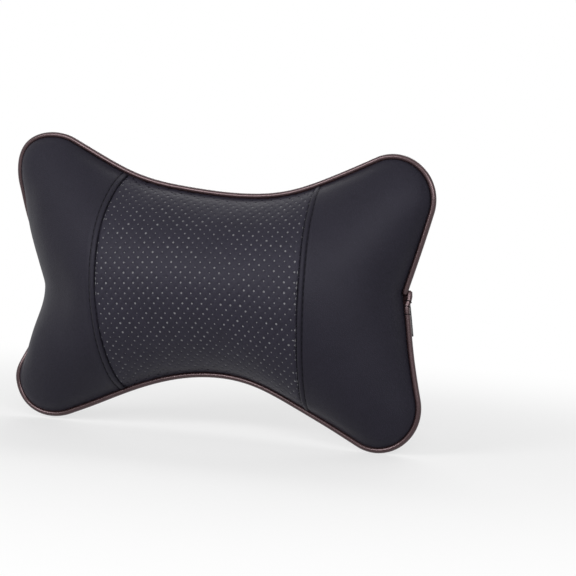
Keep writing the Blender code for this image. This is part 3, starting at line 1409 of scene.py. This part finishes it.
@dataclass
class FrontWing(Piece):
    """Smooth side panel of the front, with its raised seam allowance and topstitch."""

    STEPS = (0, 0.25, 0.5, 0.85, 1.2, 1.6, 2, 2.4, 2.75, 3.1, 3.4, 3.65)
    STEPS_BEYOND = (3.9, 4.15, 4.4, 4.7, 5.1, 5.6, 6.2, 7, 8, 9, 10.5)

    side: Side
    thickness: float = 0.6 * MM
    under: float = 1.4 * MM
    row_step: float = 0.4
    right_share: float = 0.84
    rise: float = 0.85 * MM
    valley: float = 0.45 * MM
    valley_width: float = 0.28 * MM
    groove: float = 0.42 * MM
    groove_width: float = 0.38 * MM
    puff: float = 0.20 * MM
    puff_at: float = 6.6 * MM
    puff_width: float = 1.8 * MM
    stitch_at: float = 4.1 * MM
    stitch_pitch: float = 4.3 * MM
    thread: float = 0.55 * MM
    thread_end: float = 0.15
    thread_points: int = 160

    @property
    def narrowing(self) -> float:
        """Share of the allowance's width: the right one was sewn a little tighter."""
        return self.right_share if self.side is Side.RIGHT else 1.0

    def profile(self, across: np.ndarray) -> np.ndarray:
        """Height over the plain skin at distances from the seam.

        Args:
            across: Distances from the seam.

        Returns:
            Seam valley, padded ridge, stitched groove and the puff beyond it.
        """
        across = across / self.narrowing
        share = np.clip(across / self.form.sizes.ridge, 0, 1)
        ridge = np.sin(pi * share) ** 0.7 * self.rise
        valley = self.valley * bell(across, 0, self.valley_width)
        groove = self.groove * bell(across, self.stitch_at, self.groove_width)
        puff = self.puff * bell(across, self.puff_at, self.puff_width)
        return ridge - valley - groove + puff

    def columns_at(self, across: np.ndarray, rows: np.ndarray) -> np.ndarray:
        """Find the skin's columns at distances from the seam.

        Args:
            across: Distances from the seam.
            rows: Rows of the skin.

        Returns:
            One column for each distance and row.
        """
        skin, seam = self.form.front, self.side.value * self.form.centre_columns
        step = skin.at(seam + self.side.value, rows) - skin.at(seam, rows)
        return seam + self.side.value * across[:, None] / np.linalg.norm(step, axis=1)

    def surface(self) -> np.ndarray:
        """Lay out the panel, with its edges tucked into the seams.

        Returns:
            Its points by column and row.
        """
        form, skin, side = self.form, self.form.front, self.side.value
        rows = np.arange(-form.rows, form.rows + 0.01, self.row_step)
        rows = np.unique(np.r_[rows, form.rows])
        fine = np.array(self.STEPS + self.STEPS_BEYOND) * MM * self.narrowing
        near = self.columns_at(fine, rows)
        shares = np.linspace(0, 1, 3 * form.wing_columns)[1:, None]
        far = near[-1] + (side * skin.columns - near[-1]) * shares
        columns = np.vstack([near, far])
        height = np.zeros(len(columns))
        height[: len(fine)] = self.profile(fine)
        normals = skin.normals(columns, rows)
        grid = skin.at(columns, rows) + normals * height[:, None, None]
        under = grid[0] - normals[0] * self.under
        outer = form.tucked(grid[-1], Face.FRONT)
        grid = np.concatenate([under[None], grid, outer[None]])
        return form.hemmed(grid, Face.FRONT, 1)[::side]

    def build(self) -> None:
        """Make the panel."""
        side = self.side.name.lower()
        panel = Workshop.sheet(
            f"front_{side}_wing",
            self.surface(),
            Face.FRONT,
            self.finishes.smooth,
            self.thickness,
        )
        Workshop.record(panel, Slot.LEATHERETTE, (f"front_{side}_panel",))

    def line(self, across: float, lift: float) -> tuple[np.ndarray, np.ndarray]:
        """Lay out a line that keeps its distance from the seam.

        Args:
            across: Distance from the seam.
            lift: Height over the panel.

        Returns:
            Its points and their up directions.
        """
        end = self.form.rows - self.thread_end
        rows = np.linspace(-end, end, self.thread_points)
        columns = self.columns_at(np.array([across]), rows)[0]
        normals = self.form.front.normals(columns, rows)
        height = float(self.profile(np.array([across]))[0]) + lift
        return self.form.front.at(columns, rows) + normals * height, normals

    def stitch(self, tree: StitchTree) -> None:
        """Sew the topstitch and the seam's own stitches.

        Args:
            tree: Stitch tree.
        """
        rows = (
            StitchRow(
                "topstitch",
                across=self.stitch_at * self.narrowing,
                lift=0.12 * MM,
                length=3.3 * MM,
                skew=0.0,
                seed=11,
            ),
            StitchRow(
                "seam_thread",
                across=0.1 * MM,
                lift=0.25 * MM,
                length=1.5 * MM,
                skew=1.1,
                seed=23,
            ),
        )
        for row in rows:
            title = f"{row.kind}_{self.side.name.lower()}"
            points, up = self.line(row.across, row.lift)
            mesh = bpy.data.meshes.new(title)
            links = [(k, k + 1) for k in range(len(points) - 1)]
            mesh.from_pydata(points.tolist(), links, [])
            layer = mesh.attributes.new("up", "FLOAT_VECTOR", "POINT")
            layer.data.foreach_set("vector", up.ravel())
            values = {
                "Pitch": self.stitch_pitch,
                "Length": row.length,
                "Thickness": self.thread,
                "Skew": row.skew * self.side.value,
                "Seed": row.seed,
                "Finish": self.finishes.thread,
            }
            piece = Workshop.grown(Workshop.place(title, mesh), tree.nodes, values)
            Workshop.record(piece, Slot.LEATHERETTE)


@dataclass
class CentrePanel(Piece):
    """Perforated middle panel of the front and the light layer under its holes."""

    pitch: float = 6.4 * MM
    hole: float = 0.55 * MM
    hole_spread: float = 0.17 * MM
    lip: float = 0.16 * MM
    depth: float = 0.16 * MM
    turn: float = radians(2.9)
    tiles: int = 61
    seed: int = 5
    step: float = 0.3
    dip: float = 0.40 * MM
    dip_width: float = 0.4 * MM
    swell: float = 0.12 * MM
    swell_at: float = 2 * MM
    swell_width: float = MM
    under: float = 1.3 * MM
    hem: float = 1.2 * MM
    gap: float = 0.12 * MM
    backing: float = 1.2 * MM
    backing_ends: tuple[float, float] = (0.15, 0.6)
    backing_points: tuple[int, int] = (70, 90)

    def flat_sheet(self) -> Mesh:
        """Lay the panel flat.

        Returns:
            Its mesh, with each point's place on the pillow in its attributes.
        """
        form = self.form
        skin, seam = form.front, form.centre_columns
        rows = np.unique(np.r_[np.arange(-form.rows, form.rows, self.step), form.rows])
        columns = np.r_[np.arange(-seam, seam, self.step), seam]
        columns = np.unique(np.round(np.r_[columns, -columns], 6))
        c, r = np.meshgrid(columns, rows, indexing="ij")
        place, normals = skin.at(c, r), skin.normals(c, r)
        width = self._run(place, 0, np.argmin(np.abs(columns)))
        height = self._run(place, 1, np.argmin(np.abs(rows)))
        LOG.info("centre panel: %.1f mm wide flat", 1000 * np.ptp(width, 0).max())
        inward = np.minimum(width - width[0], width[-1] - width)
        dip = self.dip * bell(inward, 0, self.dip_width)
        dip -= self.swell * bell(inward, self.swell_at, self.swell_width)
        place = place - normals * dip[..., None]
        flat = np.stack([width, height, np.zeros_like(width)], -1)
        place, normals, flat = self._edged(0, place, normals, flat)
        place[[0, -1]] -= normals[[0, -1]] * self.under
        flat[[0, -1], :, 0] += [[-MM], [MM]]
        hemmed = form.hemmed(place, Face.FRONT, 1)
        normals, flat = self._edged(1, normals, flat)
        flat[:, [0, -1], 1] += [-self.hem, self.hem]
        mesh = bpy.data.meshes.new("flat_sheet")
        quads = quads_of(*flat.shape[:2])
        mesh.from_pydata(flat.reshape(-1, 3).tolist(), [], quads.tolist())
        for name, values in (("drape", hemmed), ("drape_normal", normals)):
            layer = mesh.attributes.new(name, "FLOAT_VECTOR", "POINT")
            layer.data.foreach_set("vector", values.reshape(-1))
        return mesh

    @staticmethod
    def _edged(axis: int, *grids: np.ndarray) -> list[np.ndarray]:
        """Grids whose first and last line along one axis are there twice."""
        border = [(1, 1) if k == axis else (0, 0) for k in range(3)]
        return [np.pad(grid, border, mode="edge") for grid in grids]

    @staticmethod
    def _run(place: np.ndarray, axis: int, middle: int) -> np.ndarray:
        """Measure along the surface from its middle line.

        Args:
            place: Points by column and row.
            axis: 0 to measure across, 1 to measure up.
            middle: Column or row that the measure starts at.

        Returns:
            One signed distance for each point.
        """
        steps = np.linalg.norm(np.diff(place, axis=axis), axis=2)
        run = np.insert(np.cumsum(steps, axis=axis), 0, 0, axis=axis)
        return run - np.take(run, [middle], axis=axis)

    def build(self) -> None:
        """Punch and drape the panel."""
        panel = Workshop.place("front_perforated_panel", self.flat_sheet())
        values = {
            "Pitch": self.pitch,
            "Hole radius": self.hole,
            "Hole spread": self.hole_spread,
            "Lip": self.lip,
            "Depth": self.depth,
            "Turn": self.turn,
            "Count": self.tiles,
            "Seed": self.seed,
            "Finish": self.finishes.pierced,
        }
        Workshop.grown(panel, PerforationTree().nodes, values)
        Workshop.record(panel, Slot.PERFORATED, ("front_centre_panel",))

    def back_up(self) -> None:
        """Lay the light backing under the holes."""
        skin, halves = self.form.front, (self.form.centre_columns, self.form.rows)
        columns, rows = (
            np.linspace(end - half, half - end, count)
            for half, end, count in zip(halves, self.backing_ends, self.backing_points)
        )
        c, r = np.meshgrid(columns, rows, indexing="ij")
        grid = skin.at(c, r) - skin.normals(c, r) * (self.depth + self.gap)
        backing = Workshop.sheet(
            "centre_backing", grid, Face.FRONT, self.finishes.scrim, self.backing
        )
        Workshop.record(backing, Slot.SCRIM, ("centre_panel_backing",))


@dataclass
class BackPanel(Piece):
    """Plain back of the cover."""

    thickness: float = 0.8 * MM
    steps: int = 4

    def build(self) -> None:
        """Make the panel."""
        form, skin = self.form, self.form.back
        columns, rows = (
            np.linspace(-half, half, self.steps * half + 1)
            for half in (skin.columns, skin.rows)
        )
        grid = skin.at(*np.meshgrid(columns, rows, indexing="ij"))
        for axis in (0, 1):
            grid = form.hemmed(grid, Face.BACK, axis)
        panel = Workshop.sheet(
            "back_cover", grid, Face.BACK, self.finishes.smooth, self.thickness
        )
        Workshop.record(panel, Slot.LEATHERETTE, ("back_panel",))


@dataclass
class Piping(Piece):
    """Glossy welt round the rim, the cord inside it and the tack that holds its ends."""

    flange: float = 4.0 * MM
    mouth: float = 1.2 * MM
    sides: int = 16
    station: float = 1.6 * MM
    start: float = 1.0 * MM
    crossing: float = 10.0 * MM
    end: float = 2.2 * MM
    aside: tuple[float, float, float] = (2.6 * MM, 1.8 * MM, 0)
    thread: float = 0.32 * MM
    thread_lift: float = 0.15 * MM
    thread_slant: float = 0.3 * MM
    thread_sides: int = 6
    tack_stations: tuple[int, ...] = (5, 7, 10)
    tack_sides: int = 14

    def route(self) -> np.ndarray:
        """Lay the welt round the rim, its lower end behind the upper one.

        Returns:
            Its middle line, with extra stations for its rounded ends.
        """
        rim = self.form.rim
        count = int(run_along(rim)[-1] / self.station)
        line = spaced(rim, np.linspace(0, 1, count))
        line = np.vstack([line[0] + unit(line[0] - line[2]) * self.start, line])
        left = run_along(line[::-1])[::-1]
        share = eased(np.clip(1 - left / self.crossing, 0, 1))
        line = line + share[:, None] * self.aside
        return np.vstack([line, line[-1] + unit(line[-1] - line[-3]) * self.end])

    def fine_route(self) -> np.ndarray:
        """Add stations to the middle line for its rounded ends.

        Returns:
            The finer line.
        """
        line = self.route()
        run = run_along(line)
        cap = np.array([0, 0.15, 0.4, 0.8, 1.3]) * MM
        return points_at(line, np.unique(np.r_[cap, run[2:-2], run[-1] - cap]))

    def section(self) -> np.ndarray:
        """Draw the keyhole section: a round welt and a flat flange.

        Returns:
            Its points as (outward, forward).
        """
        radius, half = self.form.sizes.piping, self.mouth / 2
        mouth = np.arcsin(half / radius)
        turns = np.linspace(pi - mouth, mouth - pi, self.sides)
        round_part = radius * np.stack([np.cos(turns), np.sin(turns)], 1)
        inner = -radius - self.flange
        return np.vstack([[inner, half], round_part, [inner, -half]])

    def sweep(self, line: np.ndarray, section: np.ndarray) -> np.ndarray:
        """Carry a section along a line, with its forward axis kept level.

        Args:
            line: Middle line.
            section: Points of (outward, forward).

        Returns:
            Grid by section point and station, with rounded ends.
        """
        run = run_along(line)
        along = unit(np.gradient(line, axis=0))
        outward = unit(np.cross(along, [0, -1, 0]))
        forward = unit(np.cross(outward, along))
        forward *= np.sign(-forward[:, 1:2])
        end = np.minimum(run, run[-1] - run) / self.form.sizes.piping
        taper = np.sqrt(np.clip(1 - (1 - np.clip(end, 0, 1)) ** 2, 0.02, 1))
        scaled = section[:, None] * taper[None, :, None]
        return line + outward * scaled[..., :1] + forward * scaled[..., 1:]

    def tube(self, name: str, line: np.ndarray, section: np.ndarray) -> Mesh:
        """Closed mesh of a section carried along a line.

        Args:
            name: Name of the mesh.
            line: Middle line.
            section: Points of the section.

        Returns:
            The mesh, with capped ends and a UV map in metres.
        """
        grid = self.sweep(line, np.vstack([section, section[:1]]))
        mesh = Workshop.grid_mesh(name, grid, Face.FRONT)
        shape = bmesh.new()
        shape.from_mesh(mesh)
        bmesh.ops.holes_fill(shape, edges=shape.edges)
        bmesh.ops.recalc_face_normals(shape, faces=shape.faces)
        for face in shape.faces:
            face.smooth = True
        shape.to_mesh(mesh)
        shape.free()
        return mesh

    def build(self) -> None:
        """Make the welt and its cord."""
        line = self.fine_route()
        mesh = self.tube("piping_welt", line, self.section())
        welt = Workshop.place("piping_welt", mesh, self.finishes.piping)
        Workshop.record(welt, Slot.PIPING, ("piping_cover",))
        turns = np.linspace(0, -2 * pi, self.sides // 2 + 1)[:-1]
        ring = self.form.sizes.cord * np.stack([np.cos(turns), np.sin(turns)], 1)
        mesh = self.tube("welt_cord", line[3:-3], ring)
        cord = Workshop.place("welt_cord", mesh, self.finishes.cord)
        Workshop.record(cord, Slot.CORD, ("piping_cord",))

    def tack(self) -> None:
        """Thread turns that hold the welt's two ends together at the right notch."""
        line = self.route()
        shape = bmesh.new()
        radius = self.form.sizes.piping + self.thread_lift
        for station in self.tack_stations:
            along = unit(line[-station + 1] - line[-station - 1])
            outward = unit(np.cross(along, [0, -1, 0]))
            forward = unit(np.cross(outward, along))
            rings = []
            for turn in np.linspace(0, 2 * pi, self.tack_sides + 1)[:-1]:
                away = outward * cos(turn) + forward * sin(turn)
                slant = along * self.thread_slant * sin(turn)
                middle = line[-station] + away * radius + slant
                parts = np.linspace(0, 2 * pi, self.thread_sides + 1)[:-1]
                spots = [
                    middle + self.thread * (away * cos(part) + along * sin(part))
                    for part in parts
                ]
                rings.append([shape.verts.new(spot.tolist()) for spot in spots])
            for ring, after in zip(rings, rings[1:] + rings[:1]):
                for m, corner in enumerate(ring):
                    n = (m + 1) % len(ring)
                    shape.faces.new([corner, ring[n], after[n], after[m]])
        bmesh.ops.recalc_face_normals(shape, faces=shape.faces)
        mesh = bpy.data.meshes.new("piping_tack")
        shape.to_mesh(mesh)
        shape.free()
        mesh.shade_smooth()
        obj = Workshop.place("piping_tack", mesh, self.finishes.thread)
        Workshop.record(obj, Slot.PIPING)


@dataclass
class HeadrestStrap(Piece):
    """Ribbed elastic band sewn in behind the piping at both notches."""

    near_notch: float = 0.115
    threads: int = 15
    bend_points: int = 45
    flat_points: int = 15

    def surface(self) -> np.ndarray:
        """Lay out the band's outer face.

        Returns:
            Its points, across the band and along its length.
        """
        s, rim = self.form.sizes, self.form.rim
        face, flat = s.strap_thickness, s.strap_flat / 2
        rows = []
        for height in np.linspace(-s.strap_width / 2, s.strap_width / 2, self.threads):
            ends = []
            for side in Side:
                near = rim[rim[:, 0] * side.value > self.near_notch]
                near = near[np.argsort(near[:, 2])]
                x = float(np.interp(height, near[:, 2], near[:, 0] * side.value))
                y = float(np.interp(height, near[:, 2], near[:, 1]))
                start = Vector((x, y + s.piping + s.clearance))
                curve = interpolate_bezier(
                    start,
                    start + Vector((s.strap_out, s.strap_turn / 2)),
                    Vector((x - s.strap_turn, face)),
                    Vector((flat, face)),
                    self.bend_points,
                )
                ends.append([(p.x * side.value, p.y, height) for p in curve])
            middle = np.linspace(-flat, flat, self.flat_points)[1:-1]
            rows.append(ends[0] + [(x, face, height) for x in middle] + ends[1][::-1])
        return np.array(rows)

    def build(self) -> None:
        """Make the band."""
        strap = Workshop.sheet(
            "elastic_strap",
            self.surface(),
            Face.FRONT,
            self.finishes.elastic,
            self.form.sizes.strap_thickness,
        )
        Workshop.record(strap, Slot.ELASTIC, ("headrest_strap",))


@dataclass
class Filling(Piece):
    """Closed body of fibre that fills the cover."""

    front_gap: float = 3.6 * MM
    back_gap: float = 1.6 * MM

    def build(self) -> None:
        """Make the filling."""
        halves = ((self.form.front, self.front_gap), (self.form.back, self.back_gap))
        parts = []
        for skin, gap in halves:
            c, r = np.meshgrid(
                np.arange(1 - skin.columns, skin.columns),
                np.arange(1 - skin.rows, skin.rows),
                indexing="ij",
            )
            parts.append(skin.at(c, r) - skin.normals(c, r) * gap)
        points = np.concatenate([part.reshape(-1, 3) for part in parts])
        shell = Stuffing().shell(points, parts[0].shape)
        mesh = shell.data.copy()
        bpy.data.objects.remove(shell, do_unlink=True)
        mesh.shade_smooth()
        filling = Workshop.place("fibre_filling", mesh, self.finishes.fibre)
        Workshop.record(filling, Slot.FIBRE, ("fibre_fill",))


@dataclass
class NeckPillow:
    """The whole pillow."""

    sizes: CoverSizes
    lean: Lean

    def build(self) -> None:
        """Make every piece in order."""
        base = PillowForm(self.sizes, self.lean), Finishes()
        Filling(*base).build()
        centre = CentrePanel(*base)
        centre.back_up()
        centre.build()
        stitches = StitchTree()
        for side in Side:
            wing = FrontWing(*base, side)
            wing.build()
            wing.stitch(stitches)
        BackPanel(*base).build()
        piping = Piping(*base)
        piping.build()
        piping.tack()
        HeadrestStrap(*base).build()


@dataclass
class Studio:
    """Camera, lamps and pale floor."""

    yaw: float = radians(19.9)
    elevation: float = radians(3.0)
    roll: float = radians(3.16)
    distance: float = 1.123
    focal_pixels: float = 1775.0
    photo_pixels: float = 576.0
    sensor: float = 36.0
    aside: float = -0.04528
    below: float = -0.00396
    target: tuple[float, float, float] = (0, -0.054, 0)
    floor_radius: float = 3.0
    floor_corners: int = 96
    fade: tuple[float, float] = (0.12, 0.60)
    fade_from: float = 0.60
    glow: float = 0.02

    def camera(self, middle: np.ndarray) -> None:
        """Set the camera.

        Args:
            middle: Middle of the piping's plane.
        """
        y, e = self.yaw, self.elevation
        right = np.array([cos(y), sin(y), 0])
        up = np.array([-sin(y) * sin(e), cos(y) * sin(e), cos(e)])
        back = np.array([sin(y) * cos(e), -cos(y) * cos(e), sin(e)])
        spot = middle + back * self.distance - right * self.aside - up * self.below
        c, s = cos(self.roll), sin(self.roll)
        axes = np.stack([c * right + s * up, c * up - s * right, back], 1)
        data = bpy.data.cameras.new("camera")
        data.sensor_width = self.sensor
        data.lens = self.focal_pixels * self.sensor / self.photo_pixels
        turn = Matrix(axes.tolist()).to_quaternion()
        bpy.context.scene.camera = self.hang("camera", data, Vector(spot), turn)

    @staticmethod
    def hang(name: str, data: ID, spot: Vector, turn: Quaternion) -> Object:
        """Put a camera or lamp into the scene.

        Args:
            name: Its name.
            data: Its settings.
            spot: Where it hangs.
            turn: How it is turned.

        Returns:
            The new object.
        """
        obj = bpy.data.objects.new(name, data)
        obj.matrix_world = Matrix.LocRotScale(spot, turn, None)
        bpy.context.scene.collection.objects.link(obj)
        return obj

    def lamp(
        self,
        name: str,
        spot: tuple[float, float, float],
        size: tuple[float, float],
        power: float,
    ) -> None:
        """Hang a soft box that faces the pillow.

        Args:
            name: Name of the lamp.
            spot: Where it hangs.
            size: Width and height of its face.
            power: Watts.
        """
        data = bpy.data.lights.new(name, "AREA")
        data.shape = "RECTANGLE"
        data.size, data.size_y = size
        data.energy = power
        aim = Vector(self.target) - Vector(spot)
        self.hang(name, data, Vector(spot), aim.to_track_quat("-Z", "Y"))

    @staticmethod
    def looked_at(nodes: Nodes) -> Socket:
        """Find where the camera sees the surroundings, directly or in a shine.

        Args:
            nodes: Nodes of the surroundings.

        Returns:
            1 there and 0 elsewhere.
        """
        path = nodes.add("ShaderNodeLightPath")
        total = path["Is Camera Ray"]
        for kind in ("Is Glossy Ray", "Is Transmission Ray"):
            total = nodes.math("ADD", total, path[kind], clamp=True)
        return total

    def ground(self, height: float) -> None:
        """Stand the pillow on a pale round floor that fades to white away from it.

        Args:
            height: Height of the floor.
        """
        shape = bmesh.new()
        size = {"segments": self.floor_corners, "radius": self.floor_radius}
        bmesh.ops.create_circle(shape, cap_ends=True, **size)
        for vert in shape.verts:
            vert.co.z = height
        mesh = bpy.data.meshes.new("floor")
        shape.to_mesh(mesh)
        shape.free()
        paper = bpy.data.materials.new("backdrop_paper")
        paper.use_nodes = True
        nodes, own = Nodes(paper.node_tree), paper.node_tree.nodes
        shader = own["Principled BSDF"]
        nodes.feed(shader, {"Base Color": linear("#F4F4F4"), "Roughness": 0.9})
        place = nodes.add("ShaderNodeTexCoord")["Object"]
        away = nodes.add("ShaderNodeVectorMath", {0: place}, operation="LENGTH")
        end = (self.fade_from, 1.0)
        fade = nodes.mapped(away["Value"], self.fade, end, "SMOOTHSTEP")
        share = nodes.math("MULTIPLY", fade, self.looked_at(nodes))
        white = nodes.add("ShaderNodeEmission", {"Strength": 1.0})
        mix = nodes.add(
            "ShaderNodeMixShader", {0: share, 1: shader.outputs[0], 2: white[0]}
        )
        nodes.feed(own["Material Output"], {"Surface": mix[0]})
        Workshop.place("floor", mesh, paper)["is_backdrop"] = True

    def sky(self) -> None:
        """Fill the room with a faint even light, white where it is looked at."""
        world = bpy.data.worlds.new("studio")
        bpy.context.scene.world = world
        world.use_nodes = True
        world.node_tree.nodes.clear()
        nodes = Nodes(world.node_tree)
        glow, white = (
            nodes.add(
                "ShaderNodeBackground", {"Color": (1, 1, 1, 1), "Strength": strength}
            )[0]
            for strength in (self.glow, 1.0)
        )
        share = self.looked_at(nodes)
        mix = nodes.add("ShaderNodeMixShader", {0: share, 1: glow, 2: white})
        nodes.add("ShaderNodeOutputWorld", {0: mix[0]})

    def build(self, middle: np.ndarray, floor: float) -> None:
        """Set up the camera, the lamps, the floor and the view.

        Args:
            middle: Middle of the piping's plane.
            floor: Height that the pillow stands at.
        """
        self.camera(middle)
        self.lamp("key_left", (-0.5, -1.2, 0.45), (0.6, 0.4), 8.8)
        self.lamp("key_right", (0.6, -1.2, 0.45), (0.6, 0.4), 8.4)
        self.lamp("top", (0.0, -0.6, 1.2), (1.2, 0.4), 1.0)
        self.lamp("rear", (0.0, 0.9, 1.2), (1.6, 0.4), 7.0)
        self.lamp("back", (-0.3, 1.3, 0.35), (1.0, 0.5), 6.0)
        self.ground(floor)
        self.sky()
        bpy.context.scene.view_settings.view_transform = "Standard"


def main() -> None:
    """Build the pillow and its studio."""
    logging.basicConfig(level=logging.INFO, format="%(name)s: %(message)s")
    sizes = CoverSizes()
    NeckPillow(sizes, Lean()).build()
    low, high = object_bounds()
    Studio().build(sizes.place, low[2] - 0.1 * MM)


if __name__ == "__main__":
    main()
